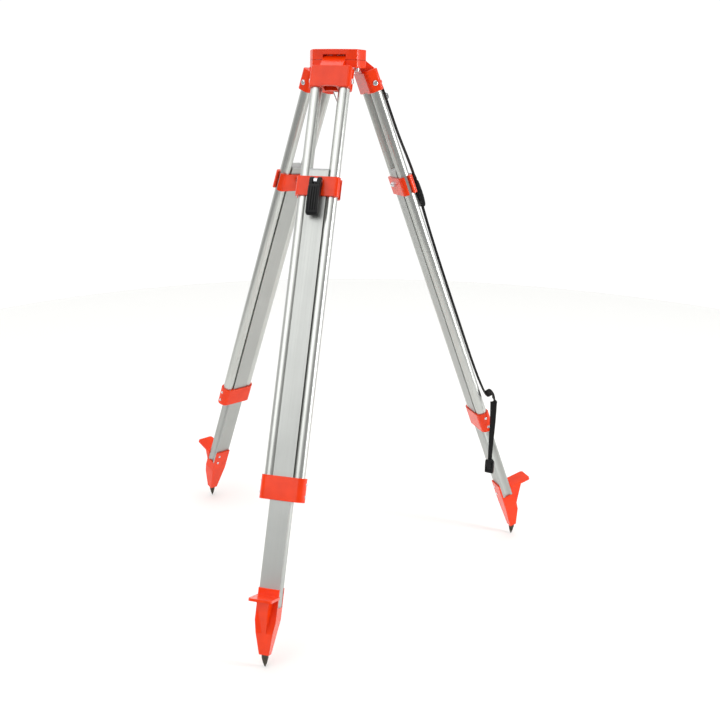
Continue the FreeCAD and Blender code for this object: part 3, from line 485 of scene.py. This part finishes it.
def turned_metal(name, colour, roughness, feed, depth):
    """Metal turned on a lathe about the upright axis: fine tool rings, feed apart, make narrow
    bright bands round the piece."""
    material, tree, shader, place = new_finish(
        name, colour, **{"Metallic": 1.0, "Roughness": roughness},
    )
    # One wave of the texture is 2 pi / 20 of a unit long, so this scale makes it one feed.
    rings = node(tree, "ShaderNodeTexWave",
                 {"bands_direction": "Z", "Scale": math.pi / 10 / feed, "Distortion": 0.6,
                  "Detail": 2.0}, {"Vector": place})
    patch = node(tree, "ShaderNodeTexNoise", {"Scale": 1 / 0.004, "Detail": 4.0}, {"Vector": place})
    gloss = node(tree, "ShaderNodeMapRange",
                 {"From Min": 0.3, "From Max": 0.7, "To Min": roughness - 0.08,
                  "To Max": roughness + 0.12}, {"Value": patch.outputs["Fac"]})
    tree.links.new(gloss.outputs["Result"], shader.inputs["Roughness"])
    dull = tuple(c * 0.62 for c in colour)
    share = node(tree, "ShaderNodeMapRange", {"From Min": 0.4, "From Max": 0.8},
                 {"Value": patch.outputs["Fac"]})
    tint = node(tree, "ShaderNodeMix", {"data_type": "RGBA", 6: (*colour, 1.0), 7: (*dull, 1.0)},
                {0: share.outputs["Result"]})
    tree.links.new(tint.outputs[2], shader.inputs["Base Color"])
    bump = node(tree, "ShaderNodeBump", {"Strength": 0.5, "Distance": depth},
                {"Height": rings.outputs["Fac"]})
    tree.links.new(bump.outputs["Normal"], shader.inputs["Normal"])
    return material


def webbing(settings, strap):
    """Woven polypropylene webbing: ribs of plain weave with a dull shader sheen, and a painted highlight
    that makes the colour lighter on each yarn's crest. The yarns follow the strap's own map, whose units are
    metres across and along it."""
    material, tree, shader, _ = new_finish(
        "black_woven_webbing", settings.webbing,
        **{"Roughness": 0.8, "Specular IOR Level": 0.2, "Sheen Weight": 0.1},
    )
    place = node(tree, "ShaderNodeUVMap", {"uv_map": "weave"}).outputs["UV"]
    warp = node(tree, "ShaderNodeTexWave",
                {"bands_direction": "X", "Scale": math.pi / 10 / strap.warp_spacing},
                {"Vector": place})
    weft = node(tree, "ShaderNodeTexWave",
                {"bands_direction": "Y", "Scale": math.pi / 10 / strap.weft_spacing},
                {"Vector": place})
    both = node(tree, "ShaderNodeMath", {"operation": "MULTIPLY"},
                {0: warp.outputs["Fac"], 1: weft.outputs["Fac"]})
    bump = node(tree, "ShaderNodeBump", {"Strength": 0.9, "Distance": 0.0003},
                {"Height": both.outputs["Value"]})
    tree.links.new(bump.outputs["Normal"], shader.inputs["Normal"])
    # Painted highlight: the colour is lighter on the yarn crests, where the raised weave would catch the light.
    painted_yarn_highlight = tuple(min(1.0, c * 1.8 + 0.003) for c in settings.webbing)
    tint = node(tree, "ShaderNodeMix", {"data_type": "RGBA", 6: (*settings.webbing, 1.0),
                                        7: (*painted_yarn_highlight, 1.0)}, {0: both.outputs["Value"]})
    tree.links.new(tint.outputs[2], shader.inputs["Base Color"])
    return material


class TRIPOD_OT_finishes(bpy.types.Operator):
    """Make every material and give the frame's parts theirs"""

    bl_idname = "tripod.finishes"
    bl_label = "Finishes"

    def execute(self, context):
        colours = context.scene.tripod_finishes
        zinc = plated("bright_zinc_plate", colours.zinc, 0.24)
        nylon = moulded("black_glass_filled_nylon", colours.nylon, 0.0007, 0.42, 0.00004)
        finishes = {
            "paint": powder_coat(colours),
            "plastic_black": nylon,
            "knob": nylon,
            "plastic_grey": moulded("grey_moulded_nylon", colours.end_cap, 0.0006, 0.5, 0.00003),
            "steel": zinc,
            "arm": plated("zinc_plated_pressing", colours.zinc, 0.36),
            "spike_steel": turned_metal("blackened_turned_steel", colours.spike, 0.42, 0.0012,
                                        0.00006),
            "screw_metal": turned_metal("bright_turned_steel", colours.screw, 0.28, 0.0006,
                                        0.00003),
            "bush": turned_metal("turned_brass", colours.brass, 0.3, 0.0006, 0.00003),
            "webbing": webbing(colours, context.scene.tripod_strap),
            "buckle": moulded("black_moulded_acetal", colours.nylon, 0.0008, 0.36, 0.00003),
        }
        for leg in LEGS:
            finishes[f"{leg}_tube"] = drawn_metal(
                f"satin_anodised_tube_{leg}", leg, colours.tube, 0.0006, (0.24, 0.38), 0.00001)
            finishes[f"{leg}_profile"] = drawn_metal(
                f"matte_anodised_extrusion_{leg}", leg, colours.profile, 0.0011, (0.36, 0.52),
                0.00002)
        for part in frame["record"]["subparts"]:
            slot = part["material_slot"]
            if slot in ("tube", "profile"):
                slot = part["node"].split("_")[0] + "_" + slot
            item = frame["nodes"][part["node"]]
            for holder in item.material_slots:
                holder.material = finishes[slot]
        return {"FINISHED"}


# ---------------------------------------------------------------- pieces


def lever_skins(settings, leg):
    """One clamp lever: a handle and two cam ears. The handle is a stack of squared-off ellipses
    whose front and back follow the lever's side view, with finger grooves sunk in the front; the
    stack closes at both ends as a high-power curve of the distance from its middle. Each ear is
    a drop shape, a circle about the pivot drawn out towards the handle, with rounded sides."""
    joint = JOINTS[f"{leg}_lever_turn"]
    axes = leg_axes(leg)
    half = settings.width / 2
    scale = settings.length / 66
    # Side view of the handle: distance below the pivot, and its back and front, in millimetres.
    drop = np.array([7.0, 12.0, 22.0, 33.0, 44.0, 54.0, 61.0, 64.5, 66.0]) * scale
    front = np.array([8.4, 9.5, 10.3, 10.6, 10.5, 9.7, 8.6, 7.2, 5.6]) * MM
    back = np.array([-5.2, -4.9, -4.5, -4.0, -3.4, -2.4, -1.5, -0.9, 0.4]) * MM
    along = np.cos(np.linspace(np.pi, 0, 120))
    z = (drop[0] + drop[-1]) / 2 + (drop[-1] - drop[0]) / 2 * along
    close = (1 - np.clip(np.abs(along), 0, 0.99999) ** 14) ** (1 / 6)
    fore, rear = np.interp(z, drop, front), np.interp(z, drop, back)
    angle = section_angles(44, 0.3)
    wide = power(np.cos(angle), 0.3)[None] * close[:, None] * half
    deep = power(np.sin(angle), 0.3)[None] * close[:, None]
    out = ((fore + rear) / 2)[:, None] + ((fore - rear) / 2)[:, None] * deep
    window = np.clip((z - drop[1]) / (3 * MM), 0, 1) * np.clip((drop[-3] - z) / (5 * MM), 0, 1)
    window = window * window * (3 - 2 * window)
    sink = sum(np.exp(-((wide - n * settings.groove_spacing) / (settings.groove_width / 2)) ** 2)
               for n in (-1.5, -0.5, 0.5, 1.5))
    out = out - settings.groove_depth * np.clip(sink, 0, 1) * window[:, None] * (deep > 0)
    rings = np.stack([wide, out, np.broadcast_to(z[:, None], wide.shape)], -1)
    skins = [skin(placed(rings, joint["pos_m"], axes))]
    ear_half = (settings.width - settings.slot) / 4
    across, around = np.meshgrid(np.arcsin(power(np.linspace(-0.9995, 0.9995, 20), 1 / 0.3)),
                                 np.linspace(0, 2 * np.pi, 72, endpoint=False), indexing="ij")
    reach = settings.cam_radius + 6.5 * MM * np.clip(np.cos(around), 0, 1) ** 2
    reach = reach * power(np.cos(across), 0.3)
    for side in (-1, 1):
        x = side * (settings.slot / 2 + ear_half) + ear_half * power(np.sin(across), 0.3)
        ear = np.stack([x, reach * np.sin(around), reach * np.cos(around)], -1)
        skins.append(skin(placed(ear, joint["pos_m"], axes)))
    return skins


class TRIPOD_OT_clamp_levers(bpy.types.Operator):
    """Make the three quick-clamp levers"""

    bl_idname = "tripod.clamp_levers"
    bl_label = "Clamp levers"

    def execute(self, context):
        for leg in LEGS:
            lever = mesh_object(f"{leg}_quick_clamp_lever",
                                lever_skins(context.scene.tripod_levers, leg),
                                bpy.data.materials["black_glass_filled_nylon"])
            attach(lever, f"{leg}_lever")
            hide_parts(f"{leg}_clamp_lever")
        return {"FINISHED"}


def screw_skin(settings):
    """The instrument screw: the radius at each height and angle is the thread's, which falls
    from crest to root and back as a triangle wave of height over pitch less the share of a turn,
    and the bore's on the way back up."""
    top, bottom = settings.tip, -settings.length
    fine = np.arange(top, -settings.thread_length, -settings.pitch / 16)
    outside = np.concatenate([fine, [-settings.thread_length, bottom + 0.5 * MM, bottom]])
    z = np.concatenate([outside, [bottom, top]])
    turn = np.linspace(0, 1, 96, endpoint=False)
    wave = np.abs(((z[:, None] / settings.pitch - turn[None]) % 1) * 2 - 1)
    flat = np.clip(wave * 1.3 - 0.15, 0, 1)
    radius = settings.radius - settings.depth * flat
    chamfer = settings.radius - 0.9 * MM - np.clip(z[:, None], -0.9 * MM, top) * 0.75
    radius = np.minimum(radius, chamfer + 0.3 * MM)
    radius[len(fine):] = settings.shank_radius
    radius[len(outside) - 1] = settings.shank_radius - 0.5 * MM
    radius[len(outside):] = settings.bore_radius
    angle = turn * 2 * np.pi
    return ring_skin(np.stack([radius * np.cos(angle), radius * np.sin(angle),
                               np.broadcast_to(z[:, None], radius.shape)], -1))


class TRIPOD_OT_instrument_screw(bpy.types.Operator):
    """Make the threaded instrument screw"""

    bl_idname = "tripod.instrument_screw"
    bl_label = "Instrument screw"

    def execute(self, context):
        screw = mesh_object("threaded_instrument_screw", [screw_skin(context.scene.tripod_screw)],
                            bpy.data.materials["bright_turned_steel"])
        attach(screw, "screw")
        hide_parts("instrument_screw")
        return {"FINISHED"}


def strap_route():
    """Control points of the strap from the lug on the right leg to its free end."""
    points = [leg_point("right", STRAP_ACROSS, out, down) for out, down in STRAP_RUN]
    points += [leg_point("right", *spot) for spot in STRAP_FOLD]
    sideways = tail_axes()[1]
    start = leg_point("right", *TAIL_START)
    points += [start + sideways * side - Vector((0, 0, drop)) for side, drop in TAIL_RUN]
    return points


def tail_axes():
    """The hanging tail's directions across and sideways, halfway between the leg's own."""
    along = Vector(JOINTS["right_leg_hinge"]["axis"]) * -1
    inward = Vector((0, 0, 1)).cross(along)
    return (along + inward).normalized(), (along - inward).normalized()


def route_line(name, route):
    """Points along the smooth NURBS line of a route, read from a curve with no thickness."""
    curve = bpy.data.curves.new(name, "CURVE")
    curve.dimensions = "3D"
    curve.resolution_u = 16
    spline = curve.splines.new("NURBS")
    spline.points.add(len(route) - 1)
    spline.points.foreach_set("co", np.array([(*point, 1.0) for point in route]).ravel())
    spline.order_u = 3
    spline.use_endpoint_u = True
    holder = bpy.data.objects.new(name, curve)
    bpy.context.scene.collection.objects.link(holder)
    bpy.context.view_layer.update()
    mesh = bpy.data.meshes.new_from_object(holder)
    line = np.zeros(len(mesh.vertices) * 3)
    mesh.vertices.foreach_get("co", line)
    bpy.data.objects.remove(holder)
    bpy.data.curves.remove(curve)
    bpy.data.meshes.remove(mesh)
    return line.reshape(-1, 3)


def unit(vectors):
    return vectors / np.linalg.norm(vectors, axis=-1, keepdims=True)


def ribbon(name, line, facing, spread, settings, material):
    """Flat webbing along a line: at each point a thin squared-off ellipse, wide across the line
    and thin the way the strap faces, a little thicker at its woven edges. Spread is the share of
    the full width at each point, less where the webbing is gathered, and it thickens as it is
    gathered. The map holds metres across and along."""
    way = unit(np.gradient(line, axis=0))
    across = unit(np.cross(facing, way))
    face = np.cross(way, across)
    angle = section_angles(9, 0.35)
    wide = power(np.cos(angle), 0.35) * settings.width / 2
    edge = 1 + 0.22 * np.exp(-((np.abs(wide) - settings.width / 2 + 0.9 * MM) / (0.7 * MM)) ** 2)
    thick = power(np.sin(angle), 0.35) * settings.thickness / 2 * 0.8 * edge
    wide = spread[:, None] * wide
    thick = (2 - spread)[:, None] * thick
    rings = line[:, None] + across[:, None] * wide[..., None] + face[:, None] * thick[..., None]
    points, faces = skin(rings)
    item = mesh_object(name, [(points, faces)], material, crease=50)
    steps = np.concatenate([[0], np.cumsum(np.linalg.norm(np.diff(line, axis=0), axis=1))])
    maps = np.stack([wide,
                     np.broadcast_to(steps[:, None], rings.shape[:2])], -1).reshape(-1, 2)
    maps = np.concatenate([maps, [[0, 0], [0, steps[-1]]]])
    corner = np.zeros(len(item.data.loops), np.int32)
    item.data.loops.foreach_get("vertex_index", corner)
    layer = item.data.uv_layers.new(name="weave")
    layer.data.foreach_set("uv", maps[corner].astype(np.float32).ravel())
    return item, steps[-1]


def buckle_skins(end, across, down):
    """The buckle at the strap's end: a rounded frame of two rails and three bars with a latch
    between, and the strap's end folded back through it."""
    face = np.cross(down, across)
    axes = (across, face, down)
    origin = np.array(axes) @ np.array(end)
    blocks = (
        ((-8.0, 0.0, 15.0), (2.0, 3.4, 12.5)),
        ((8.0, 0.0, 15.0), (2.0, 3.4, 12.5)),
        ((0.0, 0.0, 3.4), (9.8, 3.0, 2.2)),
        ((0.0, 0.8, 11.0), (7.6, 2.4, 1.8)),
        ((0.0, 0.0, 27.6), (9.6, 4.2, 2.8)),
        ((0.0, 0.6, 19.5), (6.0, 3.6, 6.6)),
        ((0.5, -3.6, 7.4), (6.6, 1.5, 8.4)),
        ((-0.8, 3.6, 8.6), (6.2, 1.4, 9.2)),
        ((2.2, 5.2, 12.4), (4.6, 1.2, 7.4)),
        ((-1.4, -5.4, 12.0), (4.8, 1.2, 6.0)),
    )
    return [rounded_block(origin + np.array(centre) * MM, np.array(half) * MM, axes)
            for centre, half in blocks]


class TRIPOD_OT_carry_strap(bpy.types.Operator):
    """Make the carry strap and the buckle on its hanging end"""

    bl_idname = "tripod.carry_strap"
    bl_label = "Carry strap"

    def execute(self, context):
        settings = context.scene.tripod_strap
        line = route_line("strap_route", strap_route())
        across, sideways = tail_axes()
        outwards = np.array(leg_axes("right")[1])
        start, last = leg_point("right", *STRAP_FOLD[0]), leg_point("right", *TAIL_START)
        fall = np.clip((start.z - line[:, 2]) / (start.z - last.z + 20 * MM), 0, 1)[:, None]
        fall = fall * fall * (3 - 2 * fall)
        facing = outwards * (1 - fall) + np.array(-sideways) * fall
        hanging = np.clip((last.z - line[:, 2]) / settings.gather_length, 0, 1)
        spread = 1 - settings.gather * hanging
        strap, reach = ribbon("carry_strap", line, facing, spread, settings,
                              bpy.data.materials["black_woven_webbing"])
        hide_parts("strap_webbing", "strap_tail")
        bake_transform(strap)
        buckle = mesh_object("strap_end_buckle",
                             buckle_skins(line[-1], np.array(across), np.array((0.0, 0.0, -1.0))),
                             bpy.data.materials["black_moulded_acetal"])
        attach(buckle, "strap_tail")
        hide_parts("strap_buckle")
        return {"FINISHED"}


# ---------------------------------------------------------------- stage


def floor_skin(height, rows=24, columns=128, reach=2.4, front=1.15):
    """A level round floor: even rings out to reach, about a middle set back so that the floor
    ends a little in front of the piece."""
    radius = reach * np.linspace(0, 1, rows)
    angle = np.linspace(0, 2 * np.pi, columns, endpoint=False)
    rings = np.stack([radius[:, None] * np.cos(angle),
                      radius[:, None] * np.sin(angle) + reach - front,
                      np.full((rows, columns), height)], -1)
    points = rings[1:].reshape(-1, 3)
    j = np.arange(columns)
    middle = np.stack([np.full(columns, len(points)), j, (j + 1) % columns], -1)
    points = np.concatenate([points, [[0.0, reach - front, height]]])
    return points, [grid_quads(rows - 1, columns, False)[:, ::-1], middle]


def studio_room(settings):
    """The room's light: pale walls, darker overhead, and darker in front, where the room is
    open."""
    world = bpy.data.worlds.new("studio_room")
    world.use_nodes = True
    tree = world.node_tree
    tree.nodes.clear()
    way = node(tree, "ShaderNodeTexCoord").outputs["Generated"]
    parts = node(tree, "ShaderNodeSeparateXYZ", links={0: way}).outputs
    rise = node(tree, "ShaderNodeMapRange",
                {"From Min": 0.15, "From Max": 0.8, "To Min": settings.wall_strength,
                 "To Max": settings.ceiling_strength}, {"Value": parts["Z"]})
    back = node(tree, "ShaderNodeMapRange",
                {"From Min": -0.35, "From Max": 0.5, "To Min": settings.front_share},
                {"Value": parts["Y"]})
    both = node(tree, "ShaderNodeMath", {"operation": "MULTIPLY"},
                {0: rise.outputs["Result"], 1: back.outputs["Result"]})
    light = node(tree, "ShaderNodeBackground", links={"Strength": both.outputs["Value"]})
    light.inputs["Color"].default_value = (1.0, 1.0, 1.0, 1.0)
    node(tree, "ShaderNodeOutputWorld", links={"Surface": light.outputs["Background"]})
    return world


def soft_light(name, place, aim, wide, watts, tall=None):
    """An area light turned to look at a point, square unless it is given a height."""
    data = bpy.data.lights.new(name, "AREA")
    data.shape = "RECTANGLE"
    data.size = wide
    data.size_y = tall or wide
    data.energy = watts
    item = bpy.data.objects.new(name, data)
    item.location = place
    item.rotation_euler = (Vector(aim) - Vector(place)).to_track_quat("-Z", "Y").to_euler()
    bpy.context.scene.collection.objects.link(item)
    return item


class TRIPOD_OT_stage(bpy.types.Operator):
    """Make the floor, the lights and the camera"""

    bl_idname = "tripod.stage"
    bl_label = "Stage"

    def execute(self, context):
        settings = context.scene.tripod_stage
        low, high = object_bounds()
        paper = new_finish("pale_seamless_paper", settings.floor_colour,
                           **{"Roughness": 0.9, "Specular IOR Level": 0.2})[0]
        floor = mesh_object("studio_floor", [floor_skin(low[2])], paper)
        floor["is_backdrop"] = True
        middle = (0.0, 0.0, (low[2] + high[2]) / 2)
        soft_light("key_light", (-1.0, -2.3, 1.1), middle, 2.4, settings.key_power)
        soft_light("side_light", (2.5, -0.1, -0.1), middle, 0.5, settings.side_power, tall=1.3)
        soft_light("top_light", (0.2, 0.9, 1.9), middle, 1.8, settings.top_power)
        sun = bpy.data.lights.new("overhead_softbox", "SUN")
        sun.energy = settings.sun_strength
        sun.angle = math.radians(110)
        lamp = bpy.data.objects.new("overhead_softbox", sun)
        lamp.rotation_euler = Vector(settings.sun_direction).to_track_quat("-Z", "Y").to_euler()
        context.scene.collection.objects.link(lamp)
        context.scene.world = studio_room(settings)
        camera = bpy.data.cameras.new("main_camera")
        camera.lens = settings.camera_lens
        camera.sensor_width = 36.0
        camera.clip_start = 0.01
        camera.shift_x, camera.shift_y = settings.camera_shift
        holder = bpy.data.objects.new("main_camera", camera)
        ahead = Vector(settings.camera_forward).normalized()
        side = ahead.cross(Vector(settings.camera_up)).normalized()
        turn = Matrix((side, side.cross(ahead), -ahead)).transposed().to_4x4()
        holder.matrix_world = Matrix.Translation(settings.camera_position) @ turn
        context.scene.collection.objects.link(holder)
        context.scene.camera = holder
        context.scene.view_settings.view_transform = "Standard"
        return {"FINISHED"}


class TRIPOD_PT_panel(bpy.types.Panel):
    """Settings and pieces of the tripod"""

    bl_idname = "TRIPOD_PT_panel"
    bl_label = "Surveying tripod"
    bl_space_type = "VIEW_3D"
    bl_region_type = "UI"
    bl_category = "Tripod"

    def draw(self, context):
        for setting in SETTINGS:
            group = getattr(context.scene, setting)
            box = self.layout.box()
            for name in group.bl_rna.properties.keys():
                if name not in ("rna_type", "name"):
                    box.prop(group, name)
        for operator in OPERATORS:
            self.layout.operator(operator.bl_idname)


SETTINGS = {
    "tripod_stage": TripodStageSettings,
    "tripod_finishes": TripodFinishSettings,
    "tripod_levers": TripodLeverSettings,
    "tripod_screw": TripodScrewSettings,
    "tripod_strap": TripodStrapSettings,
}
OPERATORS = (
    TRIPOD_OT_stage,
    TRIPOD_OT_finishes,
    TRIPOD_OT_carry_strap,
    TRIPOD_OT_clamp_levers,
    TRIPOD_OT_instrument_screw,
)


def register():
    for group in SETTINGS.values():
        bpy.utils.register_class(group)
    for name, group in SETTINGS.items():
        setattr(bpy.types.Scene, name, bpy.props.PointerProperty(type=group))
    for item in (*OPERATORS, TRIPOD_PT_panel):
        bpy.utils.register_class(item)


def unregister():
    for item in (TRIPOD_PT_panel, *reversed(OPERATORS)):
        bpy.utils.unregister_class(item)
    for name, group in SETTINGS.items():
        delattr(bpy.types.Scene, name)
        bpy.utils.unregister_class(group)


def main():
    """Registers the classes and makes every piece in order."""
    register()
    bpy.ops.tripod.stage()
    bpy.ops.tripod.finishes()
    bpy.ops.tripod.carry_strap()
    bpy.ops.tripod.clamp_levers()
    bpy.ops.tripod.instrument_screw()


if __name__ == "__main__":
    main()
